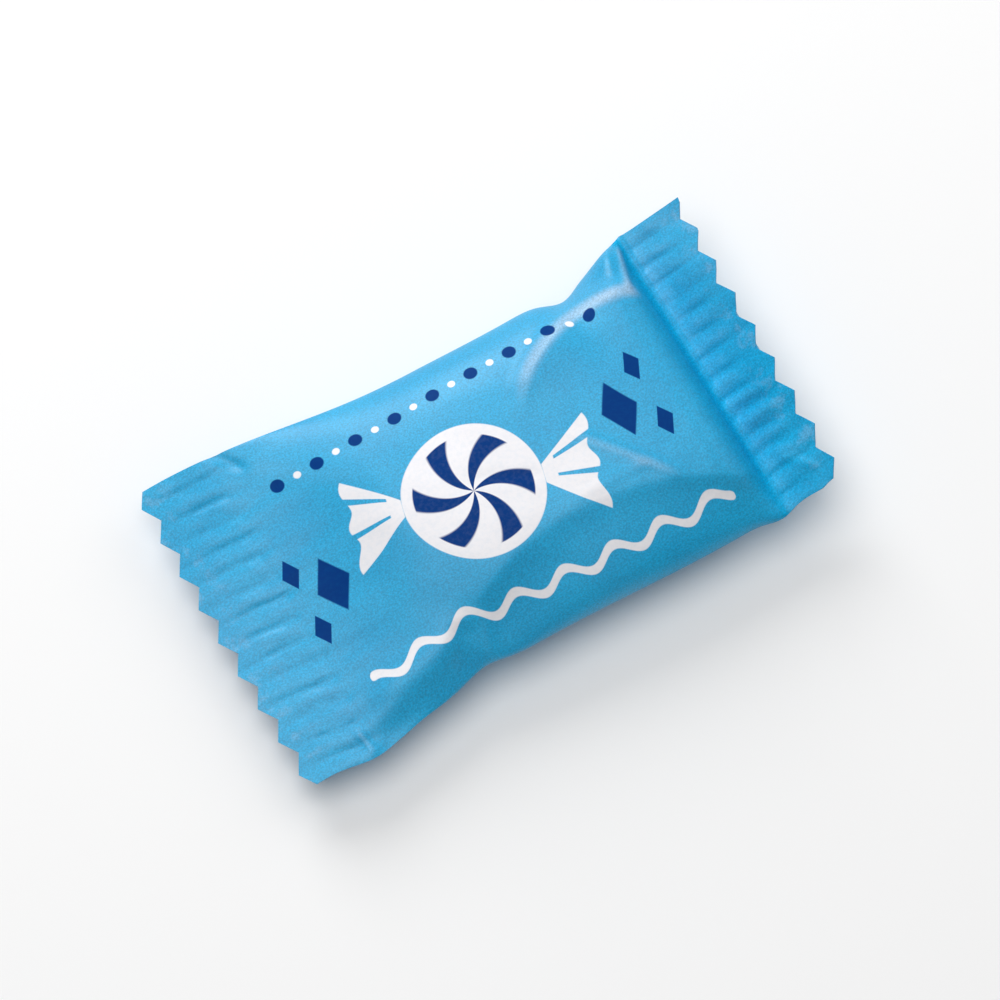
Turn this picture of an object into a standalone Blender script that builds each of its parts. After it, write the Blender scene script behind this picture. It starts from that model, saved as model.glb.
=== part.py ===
"""Flow-wrapped sweet: a shut pillow pack of printed film with two crimped, zigzag-cut end fins.

The long axis lies along X, the pack rests on its folded back seal and +Z is up.
"""

import math

import bmesh
import bpy
import numpy as np

MM = 0.001

# Film tube, laid out along its own length from the left cut to the right cut
LEFT_CUT = -27.0 * MM
LEFT_ROOT = -20.4 * MM
RIGHT_ROOT = 20.8 * MM
RIGHT_CUT = 27.4 * MM
FILM_LAYERS = 0.30 * MM

# Half widths of the tube on the far (+Y) and the near (-Y) side
LEFT_FIN_FAR = 14.95 * MM
LEFT_FIN_NEAR = 14.85 * MM
BODY_FAR = 12.35 * MM
BODY_NEAR = 14.00 * MM
RIGHT_FIN_FAR = 13.70 * MM
RIGHT_FIN_NEAR = 14.80 * MM

# Zigzag cut
TOOTH_PITCH = 3.38 * MM
TOOTH_DEPTH = 1.03 * MM
LEFT_FIRST_TIP = 13.65 * MM
RIGHT_FIRST_TIP = 13.70 * MM
RIGHT_CUT_SKEW = 0.45 * MM
TEETH = 9
STEPS_PER_FLANK = 3
CUT_REACH = 3.2 * MM

# Crimp ribs, which run out of each fin towards the body
RIB_PITCH = 4.0 * TOOTH_PITCH / (2 * STEPS_PER_FLANK)
RIB_HEIGHT = 0.20 * MM
LEFT_RIB_END = -15.5 * MM
RIGHT_RIB_END = 19.9 * MM

# Pillow body
EDGE_HEIGHT = 5.00 * MM
TOP_RISE = 5.00 * MM
TOP_START = -21.5 * MM
TOP_FULL = -1.5 * MM
TOP_CROWN = 0.35 * MM
BELLY_START = -21.5 * MM
BELLY_FULL = -7.0 * MM
WALL_START = 16.9 * MM
LEFT_DROOP = math.radians(6.0)
RIGHT_CURL = math.radians(28.0)
CURL_LENGTH = 2.6 * MM

# Oval shoulder that the sweet presses into the film
SHOULDER_X = 14.6 * MM
SHOULDER_Y = -0.6 * MM
SHOULDER_LONG = 10.5 * MM
SHOULDER_WIDE = 9.8 * MM
SHOULDER_HEIGHT = 0.45 * MM
SHOULDER_SOFTNESS = 1.1 * MM

# Folded back seal, which is also the face the pack rests on
SEAL_HALF_WIDTH = 3.5 * MM
SEAL_THICKNESS = 0.25 * MM
SEAL_STEP = 0.03 * MM

# Rows of points per stretch of the length
ROWS = (
    (LEFT_CUT, LEFT_ROOT, 6),
    (LEFT_ROOT, -6.0 * MM, 10),
    (-6.0 * MM, WALL_START, 18),
    (WALL_START, RIGHT_ROOT, 9),
    (RIGHT_ROOT, RIGHT_CUT, 7),
)

FILM_COLOUR = (0.075, 0.400, 0.640)
FILM_ROUGHNESS = 0.42
FILM_METALLIC = 0.0


def clamp(value):
    """Limit a number to the range from 0 to 1."""
    return min(1.0, max(0.0, value))


def ramp(value, start, stop):
    """Rise smoothly from 0 at start to 1 at stop."""
    t = clamp((value - start) / (stop - start))
    return t * t * (3.0 - 2.0 * t)


def hump(value, centre, width):
    """Bell curve of height 1 around centre."""
    return math.exp(-(((value - centre) / width) ** 2))


def far_width(s):
    """Half width of the tube on the +Y side, with the pinch beside the sweet."""
    width = LEFT_FIN_FAR + (BODY_FAR - LEFT_FIN_FAR) * ramp(s, -25.0 * MM, -1.0 * MM)
    width += (RIGHT_FIN_FAR - BODY_FAR) * ramp(s, 15.0 * MM, 20.8 * MM)
    width -= 0.35 * MM * ramp(s, -4.0 * MM, 8.0 * MM) * (1.0 - ramp(s, 15.0 * MM, 20.8 * MM))
    return width - 0.95 * MM * hump(s, 13.6 * MM, 1.9 * MM)


def near_width(s):
    """Half width of the tube on the -Y side, with the kink where the sweet ends."""
    width = LEFT_FIN_NEAR + (BODY_NEAR - LEFT_FIN_NEAR) * ramp(s, -20.0 * MM, -10.0 * MM)
    width += (RIGHT_FIN_NEAR - BODY_NEAR) * ramp(s, -4.0 * MM, 16.0 * MM)
    width += 0.65 * MM * hump(s, -20.7 * MM, 2.4 * MM)
    width -= 0.55 * MM * hump(s, -8.6 * MM, 2.4 * MM)
    return width + 0.50 * MM * hump(s, 20.0 * MM, 1.6 * MM)


def pitch_of_edge(s):
    """Angle of the tube's edge line above the horizontal."""
    droop = -LEFT_DROOP * (1.0 - ramp(s, -19.5 * MM, -13.0 * MM))
    return -droop if s < 0.0 else RIGHT_CURL * ramp(s, RIGHT_ROOT - CURL_LENGTH / 2, RIGHT_ROOT + CURL_LENGTH)


def edge_line(s):
    """Place (x, z) of the tube's edge line at the film length s."""
    steps = 48
    x, z = 0.0, EDGE_HEIGHT
    for i in range(steps):
        angle = pitch_of_edge(s * (i + 0.5) / steps)
        x += math.cos(angle) * s / steps
        z += math.sin(angle) * s / steps
    return x, z


def right_wall(s):
    """Steep end of the bulge against the right fin: 1 on the bulge, 0 at the fin."""
    t = clamp((s - WALL_START) / (RIGHT_ROOT - WALL_START))
    return (1.0 - t ** 2.6) ** 0.9


def top_profile(s, sigma):
    """Height of the upper film over the edge line, for sigma from -1 to 1 across."""
    bulge = ramp(s, -9.0 * MM, 6.0 * MM)
    power = 2.1 + 1.1 * bulge
    root = 1.45 + 0.30 * bulge
    rise = TOP_RISE * (0.45 * ramp(s, TOP_START, -8.0 * MM) + 0.55 * ramp(s, -17.0 * MM, TOP_FULL))
    rise -= TOP_CROWN * ((s - 8.0 * MM) / (10.0 * MM)) ** 2 * bulge
    return rise * right_wall(s) * (1.0 - min(1.0, abs(sigma)) ** power) ** (1.0 / root)


def shoulder(s, y):
    """Raised ridge along the far side of the sweet's oval outline."""
    along = (s - SHOULDER_X) / SHOULDER_LONG
    across = (y - SHOULDER_Y) / SHOULDER_WIDE
    off = (math.hypot(along, across) - 1.0) * SHOULDER_WIDE
    side = ramp(y, 3.5 * MM, 7.0 * MM)
    return SHOULDER_HEIGHT * side * hump(off, 0.0, SHOULDER_SOFTNESS) * right_wall(s)


def belly_profile(s, sigma):
    """Depth of the lower film under the edge line, flat where the pack rests."""
    full = EDGE_HEIGHT - SEAL_THICKNESS - FILM_LAYERS / 2
    drop = 1.08 * full * ramp(s, BELLY_START, BELLY_FULL) * right_wall(s)
    depth = drop * (1.0 - min(1.0, abs(sigma)) ** 2.5) ** (1.0 / 1.7)
    return min(depth, full)


def ribs(s, y):
    """Soft crimp ribs along the length, full in the fins and fading into the body."""
    left = 1.0 - ramp(s, LEFT_ROOT - 1.0 * MM, LEFT_RIB_END)
    right = ramp(s, RIGHT_RIB_END, RIGHT_ROOT + 1.0 * MM)
    return RIB_HEIGHT * (left + right) * math.cos(2.0 * math.pi * y / RIB_PITCH)


def flank_columns():
    """Places across the tube, as fractions of the fin's half width, for the left and right cut."""
    left_width = (LEFT_FIN_FAR + LEFT_FIN_NEAR) / 2
    left_centre = (LEFT_FIN_FAR - LEFT_FIN_NEAR) / 2
    right_width = (RIGHT_FIN_FAR + RIGHT_FIN_NEAR) / 2
    right_centre = (RIGHT_FIN_FAR - RIGHT_FIN_NEAR) / 2
    left = [1.0]
    right = [1.0]
    for k in range(2 * TEETH - 1):
        left.append((LEFT_FIRST_TIP - left_centre - k * TOOTH_PITCH / 2) / left_width)
        right.append((RIGHT_FIRST_TIP - right_centre - max(k, 0.5) * TOOTH_PITCH / 2) / right_width)
    left.append(-1.0)
    right.append(-1.0)
    columns = []
    for k in range(len(left) - 1):
        for step in range(STEPS_PER_FLANK):
            f = step / STEPS_PER_FLANK
            columns.append((left[k] + (left[k + 1] - left[k]) * f, right[k] + (right[k + 1] - right[k]) * f))
    columns.append((-1.0, -1.0))
    return columns


def with_seal_edges(columns):
    """Columns of the upper and the lower film, and which of the lower ones the seal covers.

    The column nearest each edge of the seal is doubled below, so that the edge is a step, and split above.
    """
    width = (LEFT_FIN_FAR + LEFT_FIN_NEAR) / 2
    step = SEAL_STEP / 2 / width
    edges = []
    for side in (1.0, -1.0):
        edges.append(min(range(len(columns)), key=lambda j: abs(columns[j][0] * width - side * SEAL_HALF_WIDTH)))
    upper = []
    lower = []
    covered = []
    for j, (left, right) in enumerate(columns):
        if j in edges:
            after = columns[j + 1]
            upper += [(left, right), ((left + after[0]) / 2, (right + after[1]) / 2)]
            lower += [(left + step, right + step), (left - step, right - step)]
            covered += [j == edges[1], j == edges[0]]
        else:
            upper.append((left, right))
            lower.append((left, right))
            covered.append(edges[0] < j < edges[1])
    return upper, lower, covered


def zigzag(y, first_tip):
    """Depth of the cut at y: 0 at the tooth tips and 1 in the notches."""
    phase = (first_tip - y) / TOOTH_PITCH
    return 2.0 * abs(phase - round(phase))


def across(fractions, profile, width):
    """Sigma for each fraction of the film, spaced evenly along the film as it wraps over the profile."""
    sigma = np.linspace(-1.0, 1.0, 241)
    heights = np.array([profile(value) for value in sigma])
    lengths = np.hypot(np.diff(sigma * width), np.diff(heights))
    travelled = np.concatenate(([0.0], np.cumsum(lengths)))
    return np.interp((np.asarray(fractions) + 1.0) / 2.0, travelled / travelled[-1], sigma)


def stations():
    """Rows along the film's length, with the share of the tooth cut each one follows."""
    rows = []
    for start, stop, count in ROWS:
        for i in range(count):
            rows.append(start + (stop - start) * i / count)
    rows.append(RIGHT_CUT)
    return rows


def film_point(s, y, height, line):
    """Point of the film at length s, y across and height square to the edge line."""
    angle = pitch_of_edge(s)
    return (line[0] - math.sin(angle) * height, y, line[1] + math.cos(angle) * height)


def film_row(mesh, s, columns, side, covered):
    """One row of points across the upper film (side 1) or the lower film (side -1)."""
    far = far_width(s)
    near = near_width(s)
    width = (far + near) / 2
    centre = (far - near) / 2
    turn = ramp(s, LEFT_ROOT, RIGHT_ROOT)
    fractions = [left + (right - left) * turn for left, right in columns]
    profile = top_profile if side > 0 else belly_profile
    sigma = across(fractions, lambda value: profile(s, value), width)
    cut_left = clamp(1.0 - (s - LEFT_CUT) / CUT_REACH)
    cut_right = clamp(1.0 - (RIGHT_CUT - s) / CUT_REACH)
    row = []
    for j, fraction in enumerate(fractions):
        cut_y = centre + fraction * width
        place = s + cut_left * TOOTH_DEPTH * zigzag(cut_y, LEFT_FIRST_TIP)
        place -= cut_right * TOOTH_DEPTH * zigzag(cut_y, RIGHT_FIRST_TIP)
        place -= cut_right * RIGHT_CUT_SKEW * (1.0 - fraction) / 2
        y = centre + sigma[j] * width
        height = profile(s, sigma[j]) + FILM_LAYERS / 2
        if side > 0:
            height += shoulder(s, y)
        elif covered[j]:
            height += SEAL_THICKNESS
        height = side * height + ribs(s, fraction * width)
        row.append(mesh.verts.new(film_point(place, y, height, edge_line(place))))
    return row


def build_wrapper():
    """The whole pack as one closed solid."""
    upper, lower, covered = with_seal_edges(flank_columns())
    mesh = bmesh.new()
    top_rows = []
    belly_rows = []
    for s in stations():
        top_rows.append(film_row(mesh, s, upper, 1, covered))
        belly_rows.append(film_row(mesh, s, lower, -1, covered))
    close_shell(mesh, top_rows, belly_rows)
    return finished(mesh, "wrapper")


def close_shell(mesh, top_rows, belly_rows):
    """Join the upper film, the lower film, the side edges and the two cut ends."""
    last_row = len(top_rows) - 1
    last_column = len(top_rows[0]) - 1
    for i in range(last_row):
        for j in range(last_column):
            a, b = top_rows[i], top_rows[i + 1]
            mesh.faces.new((a[j], a[j + 1], b[j + 1], b[j]))
            a, b = belly_rows[i], belly_rows[i + 1]
            mesh.faces.new((a[j], b[j], b[j + 1], a[j + 1]))
        for j in (0, last_column):
            mesh.faces.new((top_rows[i][j], top_rows[i + 1][j], belly_rows[i + 1][j], belly_rows[i][j]))
    for i in (0, last_row):
        for j in range(last_column):
            mesh.faces.new((top_rows[i][j], top_rows[i][j + 1], belly_rows[i][j + 1], belly_rows[i][j]))


def finished(mesh, name):
    """Turn the mesh into a named object with the film's material, its origin under the middle of its box."""
    places = [vertex.co for vertex in mesh.verts]
    middle_x = (min(p.x for p in places) + max(p.x for p in places)) / 2
    middle_y = (min(p.y for p in places) + max(p.y for p in places)) / 2
    lowest = min(p.z for p in places)
    bmesh.ops.translate(mesh, verts=mesh.verts[:], vec=(-middle_x, -middle_y, -lowest))
    bmesh.ops.triangulate(mesh, faces=mesh.faces[:])
    bmesh.ops.recalc_face_normals(mesh, faces=mesh.faces[:])
    data = bpy.data.meshes.new(name)
    mesh.to_mesh(data)
    mesh.free()
    film = bpy.data.objects.new(name, data)
    bpy.context.scene.collection.objects.link(film)
    data.materials.append(film_material())
    return film


def film_material():
    """Satin sky-blue printed film."""
    material = bpy.data.materials.new("satin_film_blue")
    material.use_nodes = True
    shader = material.node_tree.nodes["Principled BSDF"]
    shader.inputs["Base Color"].default_value = (*FILM_COLOUR, 1.0)
    shader.inputs["Roughness"].default_value = FILM_ROUGHNESS
    shader.inputs["Metallic"].default_value = FILM_METALLIC
    return material


def main():
    """Clear the scene and build the pack."""
    for item in list(bpy.data.objects):
        bpy.data.objects.remove(item, do_unlink=True)
    build_wrapper()


main()
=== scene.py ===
"""Looks of a flow-wrapped caramel sweet: one blue satin film pack with crimped, zigzag-cut fins.

The film is laid out in its own coordinates, s along the tube and q across it, and wrapped over the pillow
that the sweet gives it. The mesh carries them in millimetres and every finish reads them, so the print
follows the film.
"""

from __future__ import annotations

import logging
import math
from dataclasses import dataclass
from enum import Enum
from typing import Any, Callable, Mapping, Sequence

import bmesh
import bpy
import numpy as np
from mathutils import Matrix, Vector


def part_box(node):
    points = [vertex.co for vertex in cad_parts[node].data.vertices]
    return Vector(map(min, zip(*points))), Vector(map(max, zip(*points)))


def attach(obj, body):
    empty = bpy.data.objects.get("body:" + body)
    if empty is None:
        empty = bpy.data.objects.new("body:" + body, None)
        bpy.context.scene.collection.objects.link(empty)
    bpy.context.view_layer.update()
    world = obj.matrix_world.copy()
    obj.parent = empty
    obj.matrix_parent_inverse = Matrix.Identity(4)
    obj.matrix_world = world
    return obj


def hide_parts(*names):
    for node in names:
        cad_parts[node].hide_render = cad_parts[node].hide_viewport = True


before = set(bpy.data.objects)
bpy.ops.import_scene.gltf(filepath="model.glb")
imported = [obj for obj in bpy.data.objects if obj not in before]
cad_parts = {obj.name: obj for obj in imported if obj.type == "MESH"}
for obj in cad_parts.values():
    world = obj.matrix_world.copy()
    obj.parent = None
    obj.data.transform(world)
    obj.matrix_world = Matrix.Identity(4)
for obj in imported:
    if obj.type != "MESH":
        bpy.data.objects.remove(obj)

MM = 0.001
LOG = logging.getLogger("sweet")
PLACE = "film_place"
UP = "film_up"
RIB_SHARE = "rib_share"
RIB_CREST = "rib_crest"
BAR_SHARE = "bar_share"
# Paleness painted along creases, the far rim and ridges: partly stress whitening, mostly painted highlight.
CREASE_WHITENING_AND_SHEEN = "crease"

# Half width of the flat film, in the millimetres that the print is laid out in
FILM_HALF = 14.9
# Edges that fold by more than this stay sharp
CUT_EDGE = math.radians(50.0)

Array = np.ndarray
Profile = Callable[[np.ndarray, np.ndarray], np.ndarray]
Socket = bpy.types.NodeSocket
Pair = tuple[float, float]
Colour = tuple[float, float, float]


class Side(Enum):
    """Which half of the flattened film tube a sheet of points belongs to."""

    UPPER = 1
    LOWER = -1


def ramp(value: Array | float, start: float, stop: float) -> Array:
    """Rise smoothly from 0 at start to 1 at stop.

    Args:
        value: Where to read the ramp.
        start: Value at which it leaves 0.
        stop: Value at which it reaches 1.

    Returns:
        The ramp's height at each value.
    """
    t = np.clip((np.asarray(value, dtype=float) - start) / (stop - start), 0.0, 1.0)
    return t * t * (3.0 - 2.0 * t)


def hump(value: Array | float, centre: float, width: float) -> Array:
    """Bell curve of height 1.

    Args:
        value: Where to read the curve.
        centre: Value at the top of the bell.
        width: Distance at which it has fallen to about a third.

    Returns:
        The curve's height at each value.
    """
    return np.exp(-(((np.asarray(value, dtype=float) - centre) / width) ** 2))


def ripple(x: Array, y: Array, size: float, seed: int, waves: int = 14) -> Array:
    """Smooth, repeatable unevenness from a few crossing waves.

    Args:
        x: First coordinate.
        y: Second coordinate.
        size: Typical length of one swell.
        seed: Chooses the waves.
        waves: How many waves are added.

    Returns:
        Heights between about -1 and 1.
    """
    chooser = np.random.default_rng(seed)
    total = np.zeros(np.broadcast(x, y).shape)
    for _ in range(waves):
        heading = chooser.uniform(0.0, math.tau)
        pitch = size * chooser.uniform(0.7, 1.6)
        phase = chooser.uniform(0.0, math.tau)
        total += np.sin(math.tau * (x * math.cos(heading) + y * math.sin(heading)) / pitch + phase)
    return total / math.sqrt(waves) / 1.6


def line_ridge(x: Array, y: Array, first: Pair, last: Pair, width: float) -> Array:
    """A soft ridge along a straight crease, tapering out at both ends.

    Args:
        x: First coordinate of the points.
        y: Second coordinate of the points.
        first: One end of the crease.
        last: The other end.
        width: Half width of the ridge.

    Returns:
        Height of the ridge, from 0 to 1, at each point.
    """
    dx, dy = last[0] - first[0], last[1] - first[1]
    length = math.hypot(dx, dy)
    along = ((x - first[0]) * dx + (y - first[1]) * dy) / length
    off = ((x - first[0]) * dy - (y - first[1]) * dx) / length
    ends = ramp(along, -0.1 * length, 0.25 * length) * (1.0 - ramp(along, 0.75 * length, 1.1 * length))
    return ends * hump(off, 0.0, width)


@dataclass(frozen=True)
class Swell:
    """A soft swelling of the tube's edge, or a dip where its height is negative, all in millimetres."""

    place: float
    length: float
    height: float

    def rise(self, s: Array) -> Array:
        """Height in metres at film lengths s, in metres too."""
        return self.height * MM * hump(s, self.place * MM, self.length * MM)


@dataclass(frozen=True)
class Fold:
    """A straight crease of the film, or a dip where its height is negative, all in millimetres."""

    first: Pair
    last: Pair
    width: float
    height: float
    # Paleness painted along the crease, partly stress whitening and partly painted highlight.
    sharpness: float = 0.0


# The last number of each fold paints paleness along it, partly stress whitening and partly painted highlight.
FILM_FOLDS: Mapping[str, Fold] = {
    "ear beside the right fin": Fold((20.5, 13.3), (18.7, 8.1), 0.40, 0.42, 0.60),
    "dip before the ear": Fold((16.7, 12.6), (16.5, 9.0), 1.15, -0.28),
    "drape at the far left": Fold((-18.6, 13.4), (-8.4, 4.6), 1.80, 0.12, 0.30),
    "long fold over the sweet": Fold((7.0, 0.0), (14.3, -9.0), 0.62, 0.14, 0.45),
    "short fold over the sweet": Fold((4.6, -5.6), (12.6, -6.1), 0.55, 0.08, 0.20),
    "dip beside the sweet": Fold((-2.2, 0.6), (3.8, -2.6), 0.60, -0.10),
    "kink at the near edge": Fold((-6.6, -9.4), (-8.2, -13.6), 0.70, 0.20, 0.25),
    "dip beside the kink": Fold((-8.8, -9.6), (-10.4, -13.8), 1.10, -0.38),
    "dip at the far left corner": Fold((-20.3, 15.9), (-17.5, 12.0), 0.50, -0.24),
    "heel of the left fin": Fold((-20.9, -12.6), (-20.4, -15.4), 0.40, 0.14, 0.40),
}
FIN_FOLDS: Mapping[str, Fold] = {
    "pleat of the right fin": Fold((20.9, -6.2), (25.4, -6.6), 0.55, 0.13),
    "tuck beside the pleat": Fold((20.9, -5.0), (25.0, -5.3), 0.45, -0.13),
    "bent corner of the right fin": Fold((22.6, -10.6), (25.6, -13.2), 0.55, 0.12),
}


def folded(folds: Mapping[str, Fold], s: Array, y: Array) -> tuple[Array, Array]:
    """Add up straight creases.

    Args:
        folds: The creases by name.
        s: Film lengths, in metres.
        y: Places across, in metres.

    Returns:
        Their height in millimetres, and the paleness they paint, partly stress whitening and partly painted
        highlight.
    """
    height = np.zeros(np.broadcast(s, y).shape)
    # sharp sums the paleness each fold paints, partly stress whitening and partly painted highlight.
    sharp = np.zeros_like(height)
    for fold in folds.values():
        ridge = line_ridge(s / MM, y / MM, fold.first, fold.last, fold.width)
        height += fold.height * ridge
        sharp += fold.sharpness * ridge
    return height, sharp


@dataclass
class PackForm:
    """Shape of the film tube over the sweet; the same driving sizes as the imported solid."""

    left_cut: float = -27.0 * MM
    left_root: float = -20.4 * MM
    right_root: float = 20.8 * MM
    right_cut: float = 27.4 * MM
    layers: float = 0.20 * MM
    solid_layers: float = 0.30 * MM
    left_fin: Pair = (14.95 * MM, 14.85 * MM)
    body: Pair = (12.35 * MM, 14.00 * MM)
    right_fin: Pair = (13.70 * MM, 14.80 * MM)
    edge_height: float = 5.00 * MM
    top_rise: float = 4.84 * MM
    top_crown: float = 0.35 * MM
    top_power: Pair = (2.1, 3.2)
    top_root: Pair = (1.45, 1.75)
    belly_fill: float = 1.08
    belly_power: float = 2.5
    belly_root: float = 1.7
    wall_start: float = 16.9 * MM
    wall_fillet: float = 0.55 * MM
    far_narrows: Pair = (-25.0 * MM, -1.0 * MM)
    far_opens: Pair = (14.7 * MM, 21.0 * MM)
    far_opening_bend: float = 1.55
    far_waist: float = 0.35 * MM
    far_waist_starts: Pair = (-4.0 * MM, 8.0 * MM)
    near_narrows: Pair = (-20.0 * MM, -10.0 * MM)
    near_opens: Pair = (-4.0 * MM, 16.0 * MM)
    far_swells: tuple[Swell, ...] = (Swell(13.6, 1.9, -0.95),)
    near_swells: tuple[Swell, ...] = (
        Swell(-20.7, 2.4, 0.65),
        Swell(-17.4, 1.7, 0.18),
        Swell(-13.5, 3.0, 0.18),
        Swell(-8.6, 2.4, -0.55),
        Swell(20.0, 1.6, 0.50),
        Swell(24.6, 1.6, 0.22),
    )
    droop: float = math.radians(6.0)
    curl: float = math.radians(28.0)
    curl_length: float = 2.6 * MM
    seal_thickness: float = 0.25 * MM
    shift: Pair = (0.0, 0.0)

    def __post_init__(self) -> None:
        """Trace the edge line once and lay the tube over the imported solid's box."""
        self._s = np.linspace(-28.5 * MM, 28.5 * MM, 2281)
        angle = self.edge_angle(self._s)
        step = self._s[1] - self._s[0]
        middle = (angle[1:] + angle[:-1]) / 2
        x = np.concatenate(([0.0], np.cumsum(np.cos(middle)))) * step
        z = np.concatenate(([0.0], np.cumsum(np.sin(middle)))) * step
        self._x = x - np.interp(0.0, self._s, x)
        self._z = z - np.interp(0.0, self._s, z) + self.edge_height
        low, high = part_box("wrapper")
        span = np.linspace(self.left_cut, self.right_cut, 400)
        far, near = self.widths(span)
        middle_y = (high[1] + low[1]) / 2 - (far.max() - near.max()) / 2
        self.shift = (low[0] - float(np.interp(self.left_cut, self._s, self._x)), middle_y)

    def edge_angle(self, s: Array) -> Array:
        """Slope of the tube's edge line.

        Args:
            s: Film lengths.

        Returns:
            Its angle above the horizontal, in radians.
        """
        left = self.droop * (1.0 - ramp(s, -19.5 * MM, -13.0 * MM))
        start = self.right_root - self.curl_length / 2
        right = self.curl * ramp(s, start, self.right_root + self.curl_length)
        return np.where(np.asarray(s) < 0.0, left, right)

    def widths(self, s: Array) -> tuple[Array, Array]:
        """Half widths of the tube.

        Args:
            s: Film lengths.

        Returns:
            The half width on the far (+Y) side and on the near (-Y) side.
        """
        start, stop = self.far_opens
        open_out = np.clip((np.asarray(s) - start) / (stop - start), 0.0, 1.0) ** self.far_opening_bend
        far = self.left_fin[0] + (self.body[0] - self.left_fin[0]) * ramp(s, *self.far_narrows)
        far = far + (self.right_fin[0] - self.body[0]) * open_out
        far = far - self.far_waist * ramp(s, *self.far_waist_starts) * (1.0 - open_out)
        near = self.left_fin[1] + (self.body[1] - self.left_fin[1]) * ramp(s, *self.near_narrows)
        near = near + (self.right_fin[1] - self.body[1]) * ramp(s, *self.near_opens)
        far = far + sum(swell.rise(s) for swell in self.far_swells)
        return far, near + sum(swell.rise(s) for swell in self.near_swells)

    def wall(self, s: Array) -> Array:
        """Steep end of the bulge against the right fin, with a soft foot.

        Args:
            s: Film lengths.

        Returns:
            1 on the bulge, falling to 0 at the fin.
        """
        offsets = np.linspace(-1.0, 1.0, 9) * self.wall_fillet
        place = np.asarray(s, dtype=float)[..., None] + offsets
        t = np.clip((place - self.wall_start) / (self.right_root - self.wall_start), 0.0, 1.0)
        return ((1.0 - t**2.3) ** 1.05).mean(axis=-1)

    def top(self, s: Array, sigma: Array) -> Array:
        """Height of the upper film over the edge line.

        Args:
            s: Film lengths.
            sigma: Places across the tube, from -1 to 1.

        Returns:
            The smooth pillow's height there, without creases.
        """
        bulge = ramp(s, -9.0 * MM, 6.0 * MM)
        power = self.top_power[0] + (self.top_power[1] - self.top_power[0]) * bulge
        root = self.top_root[0] + (self.top_root[1] - self.top_root[0]) * bulge
        slope = 0.45 * ramp(s, -21.5 * MM, -8.0 * MM) + 0.55 * ramp(s, -17.0 * MM, -1.5 * MM)
        rise = self.top_rise * slope - self.top_crown * ((s - 8.0 * MM) / (10.0 * MM)) ** 2 * bulge
        inside = 1.0 - np.minimum(1.0, np.abs(sigma)) ** power
        return rise * self.wall(s) * inside ** (1.0 / root)

    def belly(self, s: Array, sigma: Array) -> Array:
        """Depth of the lower film under the edge line, flat where the pack rests.

        Args:
            s: Film lengths.
            sigma: Places across the tube, from -1 to 1.

        Returns:
            The depth there.
        """
        full = self.edge_height - self.seal_thickness - self.solid_layers / 2
        drop = self.belly_fill * full * ramp(s, -21.5 * MM, -7.0 * MM) * self.wall(s)
        inside = 1.0 - np.minimum(1.0, np.abs(sigma)) ** self.belly_power
        return np.minimum(drop * inside ** (1.0 / self.belly_root), full)

    def point(self, s: Array, y: Array, height: Array) -> Array:
        """Place points of the film in the model's frame.

        Args:
            s: Film lengths.
            y: Places across.
            height: Heights square to the edge line.

        Returns:
            Coordinates, with a last axis of three.
        """
        angle = self.edge_angle(s)
        x = np.interp(s, self._s, self._x) - np.sin(angle) * height
        z = np.interp(s, self._s, self._z) + np.cos(angle) * height
        return np.stack((x + self.shift[0], y + self.shift[1], z), axis=-1)

    def up(self, s: Array) -> Array:
        """Direction square to the edge line at film length s, with a last axis of three."""
        angle = self.edge_angle(s)
        return np.stack((-np.sin(angle), np.zeros_like(angle), np.cos(angle)), axis=-1)

    def waver(self, s: Array, y: Array) -> Array:
        """Slow waves of both fins, which every layer of film shares.

        Args:
            s: Film lengths.
            y: Places across.

        Returns:
            How far the film stands off the plain shape.
        """
        left = 1.0 - ramp(s, self.left_cut, -17.5 * MM)
        right = ramp(s, 20.6 * MM, self.right_cut)
        waves = 0.16 * left * ripple(s, y, 13.0 * MM, 21) + 0.20 * right * ripple(s, y, 12.0 * MM, 22)
        twist = 0.50 * left * ramp(y, 4.0 * MM, 15.0 * MM) - 0.75 * right * ramp(y, 4.0 * MM, 14.0 * MM)
        _, near = self.widths(s)
        span = ramp(s, -21.5 * MM, -18.5 * MM) * (1.0 - ramp(s, -11.0 * MM, -8.0 * MM))
        sag = 0.52 * span * (1.0 - ramp(y + near, 0.0, 2.8 * MM))
        pleats, _ = folded(FIN_FOLDS, s, y)
        return (waves + twist - sag + pleats) * MM


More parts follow.
